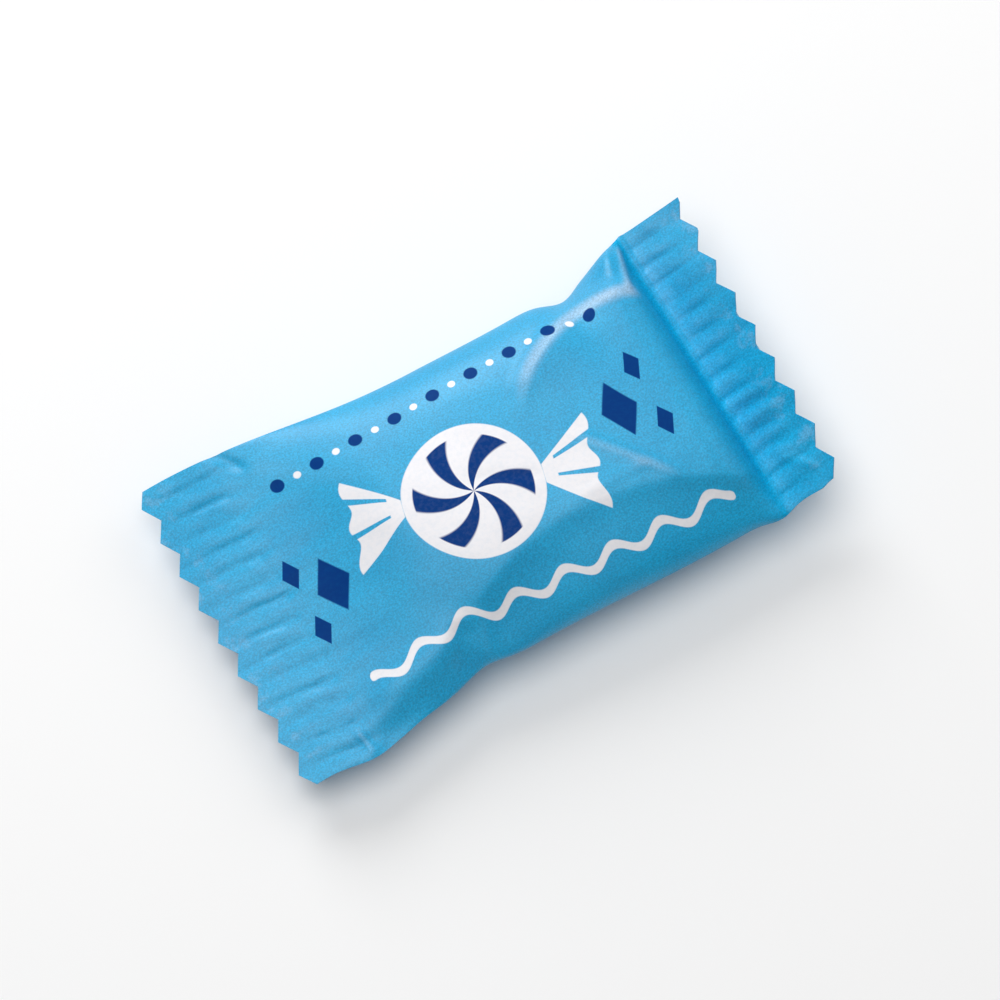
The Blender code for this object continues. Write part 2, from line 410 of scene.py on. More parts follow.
@dataclass
class ZigzagCut:
    """Saw-tooth knife line at both ends of the tube."""

    pitch: float = 3.38 * MM
    depth: float = 1.03 * MM
    left_tip: float = 13.65 * MM
    right_tip: float = 13.70 * MM
    right_skew: float = 0.45 * MM
    right_corner: float = 0.38 * MM
    left_bow: float = 0.24 * MM
    teeth: int = 9
    steps: int = 10
    reach: float = 3.2 * MM

    def notch(self, y: Array, first_tip: float) -> Array:
        """Depth of the cut at y: 0 at the tooth tips and 1 in the notches."""
        phase = (first_tip - y) / self.pitch
        return 2.0 * np.abs(phase - np.round(phase))

    def columns(self, form: PackForm) -> tuple[Array, Array]:
        """Lines along the tube that meet every tooth tip and notch.

        Args:
            form: The tube's shape.

        Returns:
            Their places across, from 1 down to -1, at the left cut and at the right cut.
        """
        ends = []
        for (far, near), tip in ((form.left_fin, self.left_tip), (form.right_fin, self.right_tip)):
            width, centre = (far + near) / 2, (far - near) / 2
            first = 0.5 if abs(tip - far) < 1e-6 else 0.0
            marks = [tip - max(k, first) * self.pitch / 2 for k in range(2 * self.teeth - 1)]
            ends.append(np.array([1.0, *((mark - centre) / width for mark in marks), -1.0]))
        ticks = np.arange(len(ends[0]) * 1.0)
        fine = np.linspace(0.0, len(ends[0]) - 1.0, (len(ends[0]) - 1) * self.steps + 1)
        return np.interp(fine, ticks, ends[0]), np.interp(fine, ticks, ends[1])

    def moved(self, form: PackForm, s: Array, y: Array, fraction: Array) -> Array:
        """Film length of each point once the cut has drawn its row into teeth.

        Args:
            form: The tube's shape.
            s: Film length of the rows.
            y: Places across.
            fraction: The same places as shares of the half width.

        Returns:
            The new film lengths.
        """
        left = np.clip(1.0 - (s - form.left_cut) / self.reach, 0.0, 1.0)
        right = np.clip(1.0 - (form.right_cut - s) / self.reach, 0.0, 1.0)
        place = s + left * self.depth * self.notch(y, self.left_tip)
        place = place - right * self.depth * self.notch(y, self.right_tip)
        place = place - left * self.left_bow * (1.0 - fraction**2)
        away = (1.0 - fraction) / 2
        return place - right * (self.right_skew * away + self.right_corner * away**8)


class Signal:
    """A node's value that takes part in Python arithmetic."""

    def __init__(self, bench: "Bench", socket: Socket) -> None:
        """Wrap an output socket of a node on the bench."""
        self.bench = bench
        self.socket = socket

    def _with(self, operation: str, *others: "Signal | float") -> "Signal":
        """Add one Math node that reads this value first."""
        return self.bench.maths(operation, self, *others)

    def __add__(self, other: "Signal | float") -> "Signal":
        """Sum."""
        return self._with("ADD", other)

    __radd__ = __add__

    def __mul__(self, other: "Signal | float") -> "Signal":
        """Product."""
        return self._with("MULTIPLY", other)

    __rmul__ = __mul__

    def __sub__(self, other: "Signal | float") -> "Signal":
        """Difference."""
        return self._with("SUBTRACT", other)

    def __rsub__(self, other: float) -> "Signal":
        """Difference with the number first."""
        return self.bench.maths("SUBTRACT", other, self)

    def __truediv__(self, other: "Signal | float") -> "Signal":
        """Quotient."""
        return self._with("DIVIDE", other)

    def __pow__(self, other: "Signal | float") -> "Signal":
        """Power."""
        return self._with("POWER", other)

    def size(self) -> "Signal":
        """Absolute value."""
        return self._with("ABSOLUTE")

    def sine(self) -> "Signal":
        """Sine of the value in radians."""
        return self._with("SINE")

    def cosine(self) -> "Signal":
        """Cosine of the value in radians."""
        return self._with("COSINE")

    def above(self, level: float) -> "Signal":
        """1 where the value is greater than the level and 0 elsewhere."""
        return self._with("GREATER_THAN", level)

    def part(self) -> "Signal":
        """Fraction left after the whole number is taken off."""
        return self._with("FRACT")

    def least(self, other: "Signal | float") -> "Signal":
        """The smaller of two values."""
        return self._with("MINIMUM", other)

    def most(self, other: "Signal | float") -> "Signal":
        """The larger of two values."""
        return self._with("MAXIMUM", other)

    def root(self) -> "Signal":
        """Square root."""
        return self._with("SQRT")

    def over(self, other: "Signal") -> "Signal":
        """Angle, in radians, of the point whose height is this value and whose width is the other."""
        return self._with("ARCTAN2", other)

    def eased(self, low: float, high: float) -> "Signal":
        """Smooth step from 0 at low to 1 at high.

        Args:
            low: Value at which the step leaves 0.
            high: Value at which it reaches 1.

        Returns:
            The step's height.
        """
        node = self.bench.node(
            "ShaderNodeMapRange",
            {"interpolation_type": "SMOOTHSTEP"},
            {"Value": self, "From Min": low, "From Max": high, "To Min": 0.0, "To Max": 1.0},
        )
        return Signal(self.bench, node.outputs["Result"])


class Bench:
    """Adds nodes to one node tree."""

    def __init__(self, tree: bpy.types.NodeTree) -> None:
        """Work on a tree."""
        self.tree = tree

    def node(self, kind: str, settings: Mapping[str, Any], values: Mapping[str | int, Any]) -> bpy.types.Node:
        """Add a node.

        Args:
            kind: The node's type.
            settings: Its properties, set first.
            values: A plain value, a signal or a socket for each of its inputs, by name or place.

        Returns:
            The new node.
        """
        made = self.tree.nodes.new(kind)
        for key, value in settings.items():
            setattr(made, key, value)
        for key, value in values.items():
            self.feed(made.inputs[key], value)
        return made

    def feed(self, target: Socket, value: Any) -> None:
        """Link or set one input socket.

        Args:
            target: The input.
            value: A plain value, a signal or a socket.
        """
        source = value.socket if isinstance(value, Signal) else value
        if isinstance(source, Socket):
            self.tree.links.new(source, target)
        else:
            target.default_value = source

    def maths(self, operation: str, *values: "Signal | float") -> Signal:
        """Add one Math node and wrap its result."""
        made = self.node("ShaderNodeMath", {"operation": operation}, dict(enumerate(values)))
        return Signal(self, made.outputs[0])

    def parts(self, vector: Socket) -> tuple[Signal, Signal, Signal]:
        """The three coordinates of a vector."""
        made = self.node("ShaderNodeSeparateXYZ", {}, {0: vector})
        return Signal(self, made.outputs[0]), Signal(self, made.outputs[1]), Signal(self, made.outputs[2])

    def noise(self, place: Sequence[Signal], scale: float, detail: float, roughness: float = 0.5) -> Signal:
        """Cloudy noise over a place.

        Args:
            place: Three coordinates.
            scale: How many clouds fit in one unit.
            detail: How many finer layers are added.
            roughness: How strong the finer layers are.

        Returns:
            Values around 0.5.
        """
        where = self.node("ShaderNodeCombineXYZ", {}, dict(enumerate(place)))
        values = {"Vector": where.outputs[0], "Scale": scale, "Detail": detail, "Roughness": roughness}
        return Signal(self, self.node("ShaderNodeTexNoise", {"noise_dimensions": "3D"}, values).outputs[0])


class NodeBench(Bench):
    """Builds one material's node tree."""

    def __init__(self, name: str) -> None:
        """Start a material with a Principled shader.

        Args:
            name: The material's name.
        """
        self.material = bpy.data.materials.new(name)
        self.material.use_nodes = True
        super().__init__(self.material.node_tree)
        self.shader = self.tree.nodes["Principled BSDF"]

    def film(self) -> tuple[Signal, Signal, Signal]:
        """Film coordinates in millimetres, along and across, and the side: 1 above and -1 below."""
        return self.parts(self.node("ShaderNodeAttribute", {"attribute_name": PLACE}, {}).outputs["Vector"])

    def carried(self, name: str) -> Signal:
        """A number that the mesh carries at each point."""
        held = self.node("ShaderNodeAttribute", {"attribute_name": name}, {})
        return Signal(self, held.outputs["Fac"])

    def fix(self, **values: float) -> None:
        """Set numbers on the shader's own sockets, named with underscores for spaces."""
        for key, value in values.items():
            self.shader.inputs[key.replace("_", " ")].default_value = value

    def blend(self, share: Signal | float, first: Any, second: Any, mode: str = "MIX") -> Socket:
        """Mix two colours.

        Args:
            share: How much of the second colour, from 0 to 1.
            first: A colour or a colour socket.
            second: A colour or a colour socket.
            mode: How they are mixed.

        Returns:
            The mixed colour's socket.
        """
        settings = {"data_type": "RGBA", "blend_type": mode, "clamp_factor": True}
        made = self.node("ShaderNodeMix", settings, {0: share, 6: rgba(first), 7: rgba(second)})
        return made.outputs[2]

    def bump(self, height: Signal, distance: float, strength: float = 1.0) -> Socket:
        """Bump normal.

        Args:
            height: Height field, from 0 to 1.
            distance: Height of 1, in metres.
            strength: How strongly it shows.

        Returns:
            The normal's socket.
        """
        made = self.node("ShaderNodeBump", {}, {"Height": height, "Distance": distance, "Strength": strength})
        return made.outputs["Normal"]


def rgba(colour: Any) -> Any:
    """Give a plain colour an alpha of 1 and leave a socket as it is."""
    return (*colour, 1.0) if isinstance(colour, tuple) and len(colour) == 3 else colour


@dataclass(frozen=True)
class SweetMotif:
    """A generic wrapped-sweet sign: a white disc with navy curved arms between two white pleated twists."""

    centre: Pair = (-2.2, 0.1)
    turn: float = math.radians(-14.0)
    disc: float = 6.1
    rim: float = 0.95
    arms: int = 6
    arm_twist: float = 8.6
    arm_share: float = 0.42
    twist_length: float = 4.9
    twist_spread: float = 0.78
    pleats: float = 13.0

    def inks(self, s: Signal, q: Signal, soft: float) -> tuple[Signal, Signal]:
        """Ink coverage of the sign.

        Args:
            s: Film coordinate along, in millimetres.
            q: Film coordinate across, in millimetres.
            soft: Half width of the ink's edge.

        Returns:
            The white ink and the navy ink, each from 0 to 1.
        """
        dx, dy = s - self.centre[0], q - self.centre[1]
        along = dx * math.cos(self.turn) + dy * math.sin(self.turn)
        off = dy * math.cos(self.turn) - dx * math.sin(self.turn)
        radius = (along * along + off * off).root()
        disc = (self.disc - radius).eased(-soft, soft)
        reach = along.size() - self.disc * 0.94
        fan = off.over(reach + 1.6) * self.pleats
        end = (fan + 1.6).sine() * 0.30 + self.twist_length
        twist = (reach * self.twist_spread + 0.55 - off.size()).eased(-soft, soft)
        twist = twist * (end - reach).eased(-soft, soft) * (reach - 0.35).eased(-soft, soft)
        pleat = ((fan + 3.1).sine() - 0.86).eased(-0.05, 0.05) * (reach - 1.5).eased(-soft, soft)
        sweep = (off.over(along) * (self.arms / math.tau) + radius / self.arm_twist + 40.0).part()
        edge = (sweep - 0.5).size()
        within = (self.disc - self.rim - radius).eased(-soft, soft)
        return disc.most(twist * (1.0 - pleat)), (self.arm_share / 2 - edge).eased(-0.03, 0.03) * within


@dataclass(frozen=True)
class WaveLine:
    """A thin printed wave along the pack."""

    across: float
    start: float
    stop: float
    length: float = 4.6
    swing: float = 0.62
    half_width: float = 0.42

    def ink(self, s: Signal, q: Signal, soft: float) -> Signal:
        """Ink coverage of the wave.

        Args:
            s: Film coordinate along, in millimetres.
            q: Film coordinate across, in millimetres.
            soft: Half width of the ink's edge.

        Returns:
            The ink, from 0 to 1.
        """
        path = (s * (math.tau / self.length)).sine() * self.swing + self.across
        left_over = (s - self.start).least(self.stop - s)
        inset = left_over.most(0.0).least(self.half_width)
        reach = (inset * (self.half_width * 2.0 - inset)).root()
        return (reach - (q - path).size()).eased(-soft, soft) * left_over.eased(0.0, soft)


@dataclass(frozen=True)
class Diamond:
    """A printed diamond."""

    along: float
    across: float
    half_length: float
    half_width: float

    def ink(self, s: Signal, q: Signal, soft: float) -> Signal:
        """Ink coverage of the diamond, from 0 to 1, for film coordinates in millimetres."""
        reach = (s - self.along).size() / self.half_length + (q - self.across).size() / self.half_width
        return (1.0 - reach).eased(-soft, soft)


@dataclass(frozen=True)
class BeadRow:
    """A row of printed dots, evenly spaced along the pack."""

    across: float
    first: float
    last: float
    spacing: float
    radius: float

    def ink(self, s: Signal, q: Signal, soft: float) -> Signal:
        """Ink coverage of the dots.

        Args:
            s: Film coordinate along, in millimetres.
            q: Film coordinate across, in millimetres.
            soft: Half width of the ink's edge.

        Returns:
            The ink, from 0 to 1.
        """
        step = ((s - self.first) / self.spacing + 40.5).part() - 0.5
        dx, dy = step * self.spacing, q - self.across
        dots = (self.radius - (dx * dx + dy * dy).root()).eased(-soft, soft)
        ends = (s - self.first + self.spacing / 2).eased(0.0, 0.01)
        return dots * ends * (self.last + self.spacing / 2 - s).eased(0.0, 0.01)


@dataclass(frozen=True)
class PrintedFilm:
    """Satin sky-blue film with white and navy inks."""

    name: str = "printed_satin_film"
    blue: Colour = (0.001, 0.362, 0.655)
    deep_blue: Colour = (0.001, 0.335, 0.620)
    # Paleness of whitened film, also used as painted highlight on creases, the far rim and rib crests.
    pale_and_sheen: Colour = (0.57, 0.61, 0.71)
    white: Colour = (0.85, 0.84, 0.87)
    navy: Colour = (0.001, 0.040, 0.205)
    roughness: float = 0.44
    coat: float = 1.0
    coat_roughness: float = 0.44
    coat_index: float = 1.56
    ink_coat: float = 0.07
    grain_depth: float = 0.40
    # Paleness on rib crests and creases is partly stress whitening and partly painted highlight.
    crest_whitening_and_sheen: float = 0.03
    crease_whitening_and_sheen: float = 0.45
    speck_paleness: float = 0.025
    # Paleness in patches towards the zigzag cut.
    tip_patch_paleness: float = 0.12
    printed: bool = True
    motif: SweetMotif = SweetMotif()
    waves: tuple[WaveLine, ...] = (WaveLine(-9.9, -17.6, 17.2),)
    diamonds: tuple[Diamond, ...] = (
        Diamond(12.2, 0.8, 1.6, 2.7),
        Diamond(15.1, 3.6, 0.85, 1.45),
        Diamond(15.1, -2.0, 0.85, 1.45),
        Diamond(-16.2, -0.5, 1.6, 2.7),
        Diamond(-18.9, 2.3, 0.85, 1.45),
        Diamond(-18.9, -3.3, 0.85, 1.45),
    )
    beads: tuple[BeadRow, ...] = (BeadRow(9.8, -16.0, 14.4, 3.8, 0.62),)
    white_beads: tuple[BeadRow, ...] = (BeadRow(9.8, -14.1, 12.5, 3.8, 0.34),)

    def material(self) -> bpy.types.Material:
        """Build the finish.

        Returns:
            The material.
        """
        bench = NodeBench(self.name)
        s, q, side = bench.film()
        crest = bench.carried(RIB_CREST)
        cloud = bench.noise((s, q, side), 0.16, 3.0)
        grain = bench.noise((s, q, side), 6.2, 2.0, 0.65)
        colour = self.ground(bench, (s, q, side), crest, cloud, grain)
        if self.printed:
            colour, navy = self.inked(bench, colour, s, q, side)
            sheen = self.coat - navy * (self.coat - self.ink_coat)
            bench.feed(bench.shader.inputs["Coat Weight"], (1.0 - self.dulling(s, q)) * sheen)
        else:
            bench.fix(Coat_Weight=self.coat)
        rough = (cloud - 0.5) * 0.10 + (grain - 0.5) * 0.10 + crest * 0.04 + self.roughness
        bench.feed(bench.shader.inputs["Base Color"], colour)
        bench.feed(bench.shader.inputs["Roughness"], rough)
        bench.feed(bench.shader.inputs["Normal"], self.relief(bench, s, q, side, grain))
        bench.fix(Specular_IOR_Level=0.0, Coat_Roughness=self.coat_roughness, Coat_IOR=self.coat_index)
        return bench.material

    def ground(
        self, bench: NodeBench, place: Sequence[Signal], crest: Signal, cloud: Signal, grain: Signal
    ) -> Socket:
        """Colour of the bare film: clouded blue, with paler creases, far rim and rib crests that are partly
        stress whitening and partly painted highlight, paler patches towards the zigzag cut, and grain.

        Args:
            bench: The material being built.
            place: Film coordinates.
            crest: How high the crimp's ribs stand.
            cloud: Slow unevenness.
            grain: The film's grain.

        Returns:
            The colour's socket.
        """
        s, q, side = place
        speck = bench.noise((s, q, side + 7.0), 6.5, 1.0, 0.6)
        # Paler patches towards the zigzag cut.
        tip_patches = bench.noise((s, q, side + 3.0), 0.55, 4.0, 0.7).eased(0.50, 0.66) * s.size().eased(22.5, 26.4)
        crease = bench.carried(CREASE_WHITENING_AND_SHEEN)
        # Rib crests and creases are painted paler, partly as stress whitening and partly as painted
        # highlight.
        pale_and_sheen = crest.eased(0.25, 1.0) * self.crest_whitening_and_sheen + crease.eased(0.15, 1.0) * self.crease_whitening_and_sheen
        pale_and_sheen = pale_and_sheen + speck.eased(0.42, 0.72) * self.speck_paleness + tip_patches * self.tip_patch_paleness
        colour = bench.blend(cloud.eased(0.35, 0.65), self.deep_blue, self.blue)
        colour = bench.blend(pale_and_sheen, colour, self.pale_and_sheen)
        tone = (grain.eased(0.30, 0.70) - 0.5) * self.grain_depth + 1.0
        grey = bench.node("ShaderNodeCombineColor", {}, {0: tone, 1: tone, 2: tone})
        return bench.blend(1.0, colour, grey.outputs[0], "MULTIPLY")

    def dulling(self, s: Signal, q: Signal) -> Signal:
        """Loss of sheen where the jaws have crimped the film and along the sweet's near side.

        Args:
            s: Film coordinate along, in millimetres.
            q: Film coordinate across, in millimetres.

        Returns:
            The share that is lost, from 0 to 1.
        """
        right_fin = s.eased(18.6, 21.2)
        left_fin = (0.0 - s).eased(19.0, 21.5)
        near_side = (0.0 - q).eased(9.0, 12.5) * s.eased(4.0, 10.0) * (1.0 - right_fin)
        fin_root = ((s - 20.45) / 0.75).size().eased(1.0, 0.2)
        dull = right_fin * (0.64 - q.eased(-4.0, 12.0) * 0.54) + left_fin * (q.eased(1.0, 9.0) * 0.30 + 0.10)
        return (dull + near_side * 0.30).most(fin_root * 0.80)

    def inked(
        self, bench: NodeBench, ground: Socket, s: Signal, q: Signal, side: Signal
    ) -> tuple[Socket, Signal]:
        """Print the inks on the upper film.

        Args:
            bench: The material being built.
            ground: The film's own colour.
            s: Film coordinate along, in millimetres.
            q: Film coordinate across, in millimetres.
            side: 1 on the upper film and -1 on the lower.

        Returns:
            The printed colour, and where the navy ink lies, from 0 to 1.
        """
        soft = 0.06
        white, navy = self.motif.inks(s, q, soft)
        for wave in self.waves:
            white = white.most(wave.ink(s, q, soft))
        for row in self.white_beads:
            white = white.most(row.ink(s, q, soft))
        for diamond in self.diamonds:
            navy = navy.most(diamond.ink(s, q, soft))
        for row in self.beads:
            navy = navy.most(row.ink(s, q, soft))
        upper = side.eased(-0.05, 0.05)
        wear = bench.noise((s, q, side + 12.0), 2.6, 3.0, 0.6).eased(0.30, 0.62)
        colour = bench.blend(white * upper * (wear * 0.06 + 0.94), ground, self.white)
        return bench.blend(navy * upper * (wear * 0.02 + 0.98), colour, self.navy), navy * upper

    def relief(self, bench: NodeBench, s: Signal, q: Signal, side: Signal, grain: Signal) -> Socket:
        """Fine wrinkles drawn out along the film, strongest beside the crimps, and the film's own grain.

        Args:
            bench: The material being built.
            s: Film coordinate along, in millimetres.
            q: Film coordinate across, in millimetres.
            side: 1 on the upper film and -1 on the lower.
            grain: The film's grain.

        Returns:
            The normal's socket.
        """
        ends = s.size().eased(11.0, 18.0) * (1.0 - s.size().eased(20.5, 24.5) * 0.7)
        pulled = bench.noise((s * 0.30, q * 1.1, side), 1.0, 2.0, 0.5)
        soft = bench.noise((s * 0.45, q * 0.55, side + 3.0), 1.0, 2.0)
        height = pulled * (ends * 0.30 + 0.05) + soft * 0.26 + grain * 0.05
        return bench.bump(height, 0.22 * MM, 0.85)


@dataclass(frozen=True)
class PaleFloor:
    """Plain near-white studio floor."""

    name: str = "pale_floor"
    colour: Colour = (0.93, 0.93, 0.93)

    def material(self) -> bpy.types.Material:
        """Build the finish.

        Returns:
            The material.
        """
        bench = NodeBench(self.name)
        bench.feed(bench.shader.inputs["Base Color"], rgba(self.colour))
        bench.fix(Roughness=0.9, Specular_IOR_Level=0.1)
        return bench.material


class GeometryBench(Bench):
    """Builds one geometry-nodes tree with named inputs and turns its result into a plain mesh."""

    def __init__(self, name: str, inputs: Mapping[str, float]) -> None:
        """Start a tree.

        Args:
            name: The tree's name.
            inputs: Value of each named input.
        """
        super().__init__(bpy.data.node_groups.new(name, "GeometryNodeTree"))
        interface = self.tree.interface
        interface.new_socket("Geometry", in_out="INPUT", socket_type="NodeSocketGeometry")
        self.values: dict[str, float] = {}
        for key, value in inputs.items():
            made = interface.new_socket(key, in_out="INPUT", socket_type="NodeSocketFloat")
            self.values[made.identifier] = value
        interface.new_socket("Geometry", in_out="OUTPUT", socket_type="NodeSocketGeometry")
        self.source = self.tree.nodes.new("NodeGroupInput")
        self.target = self.tree.nodes.new("NodeGroupOutput")

    def given(self, name: str) -> Signal:
        """One of the tree's named inputs."""
        return Signal(self, self.source.outputs[name])

    def attribute(self, name: str, kind: str) -> Socket:
        """Read a named attribute of the given type."""
        made = self.node("GeometryNodeInputNamedAttribute", {"data_type": kind}, {"Name": name})
        return made.outputs["Attribute"]

    def film(self) -> tuple[Signal, Signal, Signal]:
        """Film coordinates in millimetres, along and across, and the side: 1 above and -1 below."""
        return self.parts(self.attribute(PLACE, "FLOAT_VECTOR"))

    def carried(self, name: str) -> Signal:
        """A number that the mesh carries at each point."""
        return Signal(self, self.attribute(name, "FLOAT"))

    def press(self, lift: Signal, crest: Signal, material: bpy.types.Material) -> None:
        """Move the film square to itself and end the tree in Realize Instances and Set Material.

        Args:
            lift: How far each point moves up, in metres.
            crest: Height of the relief, from 0 to 1, kept for the finish.
            material: The film's finish.
        """
        up = self.attribute(UP, "FLOAT_VECTOR")
        offset = self.node("ShaderNodeVectorMath", {"operation": "SCALE"}, {0: up, "Scale": lift}).outputs[0]
        geometry = self.source.outputs["Geometry"]
        moved = self.node("GeometryNodeSetPosition", {}, {"Geometry": geometry, "Offset": offset})
        kept = self.node(
            "GeometryNodeStoreNamedAttribute",
            {"data_type": "FLOAT", "domain": "POINT"},
            {"Geometry": moved.outputs[0], "Name": RIB_CREST, "Value": crest},
        )
        real = self.node("GeometryNodeRealizeInstances", {}, {"Geometry": kept.outputs[0]})
        values = {"Geometry": real.outputs[0], "Material": material}
        dressed = self.node("GeometryNodeSetMaterial", {}, values)
        self.feed(self.target.inputs[0], dressed.outputs[0])

    def run(self, piece: bpy.types.Object) -> None:
        """Apply the tree to a piece and leave it with a plain mesh.

        Args:
            piece: The object whose mesh the tree works on.
        """
        modifier = piece.modifiers.new(self.tree.name, "NODES")
        modifier.node_group = self.tree
        for identifier, value in self.values.items():
            modifier[identifier] = value
        graph = bpy.context.evaluated_depsgraph_get()
        result = bpy.data.meshes.new_from_object(
            piece.evaluated_get(graph), preserve_all_data_layers=True, depsgraph=graph
        )
        piece.modifiers.remove(modifier)
        old = piece.data
        piece.data = result
        bpy.data.meshes.remove(old)
        result.name = piece.name


def sheet_faces(rows: int, columns: int, start: int, flip: bool) -> Array:
    """Quads of a grid of points.

    Args:
        rows: Number of rows of points.
        columns: Number of points in a row.
        start: Index of the grid's first point.
        flip: Turn the faces over.

    Returns:
        Four point indices for each quad.
    """
    first = start + np.arange(rows - 1)[:, None] * columns + np.arange(columns - 1)[None, :]
    quads = np.stack((first, first + 1, first + columns + 1, first + columns), axis=-1).reshape(-1, 4)
    return quads[:, ::-1] if flip else quads


def closed_shell(upper: Array, lower: Array) -> tuple[Array, Array]:
    """Close two sheets of points into one body.

    Args:
        upper: Points of the upper sheet, rows by columns by three.
        lower: Points of the lower sheet, laid out alike.

    Returns:
        All points, and the quads that join them.
    """
    rows, columns = upper.shape[:2]
    count = rows * columns
    index = np.arange(count).reshape(rows, columns)
    quads = [sheet_faces(rows, columns, 0, False), sheet_faces(rows, columns, count, True)]
    borders = ((index[:, 0], True), (index[:, -1], False), (index[0, :], False), (index[-1, :], True))
    for line, flip in borders:
        a, b = line[:-1], line[1:]
        wall = np.stack((a, b, b + count, a + count), axis=-1)
        quads.append(wall[:, ::-1] if flip else wall)
    return np.concatenate((upper.reshape(-1, 3), lower.reshape(-1, 3))), np.concatenate(quads)


def new_piece(name: str, points: Array, quads: Array) -> bpy.types.Object:
    """Make a mesh object from points and quads, with its faces pointing outwards.

    Args:
        name: The object's name.
        points: Coordinates of the points.
        quads: Four point indices for each face.

    Returns:
        The linked object.
    """
    data = bpy.data.meshes.new(name)
    data.from_pydata(points.tolist(), [], quads.tolist())
    body = bmesh.new()
    body.from_mesh(data)
    bmesh.ops.recalc_face_normals(body, faces=body.faces[:])
    body.to_mesh(data)
    body.free()
    piece = bpy.data.objects.new(name, data)
    bpy.context.scene.collection.objects.link(piece)
    return piece


def carry(piece: bpy.types.Object, name: str, values: Array) -> None:
    """Store a number or a vector at each point of a mesh.

    Args:
        piece: The object.
        name: The attribute's name.
        values: One number, or three, for each point.
    """
    kind, field_name = ("FLOAT_VECTOR", "vector") if values.ndim == 2 else ("FLOAT", "value")
    held = piece.data.attributes.new(name, kind, "POINT")
    held.data.foreach_set(field_name, np.ascontiguousarray(values, dtype=np.float32).ravel())


def dress(piece: bpy.types.Object) -> None:
    """Smooth a piece, keep its cut edges sharp and hand it to the frame.

    Args:
        piece: The finished object.
    """
    piece.data.shade_smooth()
    piece.data.set_sharp_from_angle(angle=CUT_EDGE)
    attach(piece, "root")
    faces = sum(len(face.vertices) - 2 for face in piece.data.polygons)
    LOG.info("%s: %d points, %d triangles", piece.name, len(piece.data.vertices), faces)


@dataclass(frozen=True)
class CrimpRibs:
    """Ribs that the sealing jaws press across both fins, through every layer of film."""

    pitch: float = 2.05 * MM
    height: float = 0.112 * MM
    drift: float = 1.1 * MM
    at_cut: float = 0.36
    seed: int = 5

    def share(self, s: Array, y: Array) -> Array:
        """How fully the jaws press the film at each place.

        Args:
            s: Film lengths.
            y: Places across.

        Returns:
            Shares from 0 to 1.
        """
        reach = 1.2 * MM * ripple(s * 0.0, y, 5.0 * MM, 31)
        left = self.at_cut + 0.48 * ramp(s, -26.4 * MM, -23.0 * MM)
        right = self.at_cut + 0.44 * ramp(-s, -26.4 * MM, -22.5 * MM)
        left = left * (1.0 - ramp(s, -21.2 * MM, -18.2 * MM + reach))
        return left + right * ramp(s, 20.4 * MM, 21.3 * MM)

    def tree(self, material: bpy.types.Material) -> GeometryBench:
        """Geometry nodes that press the ribs into every layer of film.

        Args:
            material: The film's finish.

        Returns:
            The tree, ready to run.
        """
        inputs = {
            "Rib Pitch": self.pitch / MM,
            "Rib Height": self.height,
            "Pitch Drift": self.drift / MM,
            "Seed": float(self.seed),
        }
        bench = GeometryBench("crimp_ribs", inputs)
        s, q, _ = bench.film()
        lane = s.above(0.0) * 13.0 + bench.given("Seed")
        drift = (bench.noise((q, lane, s * 0.05), 0.42, 1.0) - 0.5) * bench.given("Pitch Drift")
        turns = (q + drift) / bench.given("Rib Pitch")
        crest = (((turns * math.tau).cosine() + 1.0) * 0.5) ** 0.55
        uneven = bench.noise((q, lane, s * 0.8), 0.42, 2.0) * 3.6 - 0.85
        share = bench.carried(RIB_SHARE) * uneven
        bench.press((crest - 0.5) * 2.0 * share * bench.given("Rib Height"), crest * share, material)
        return bench


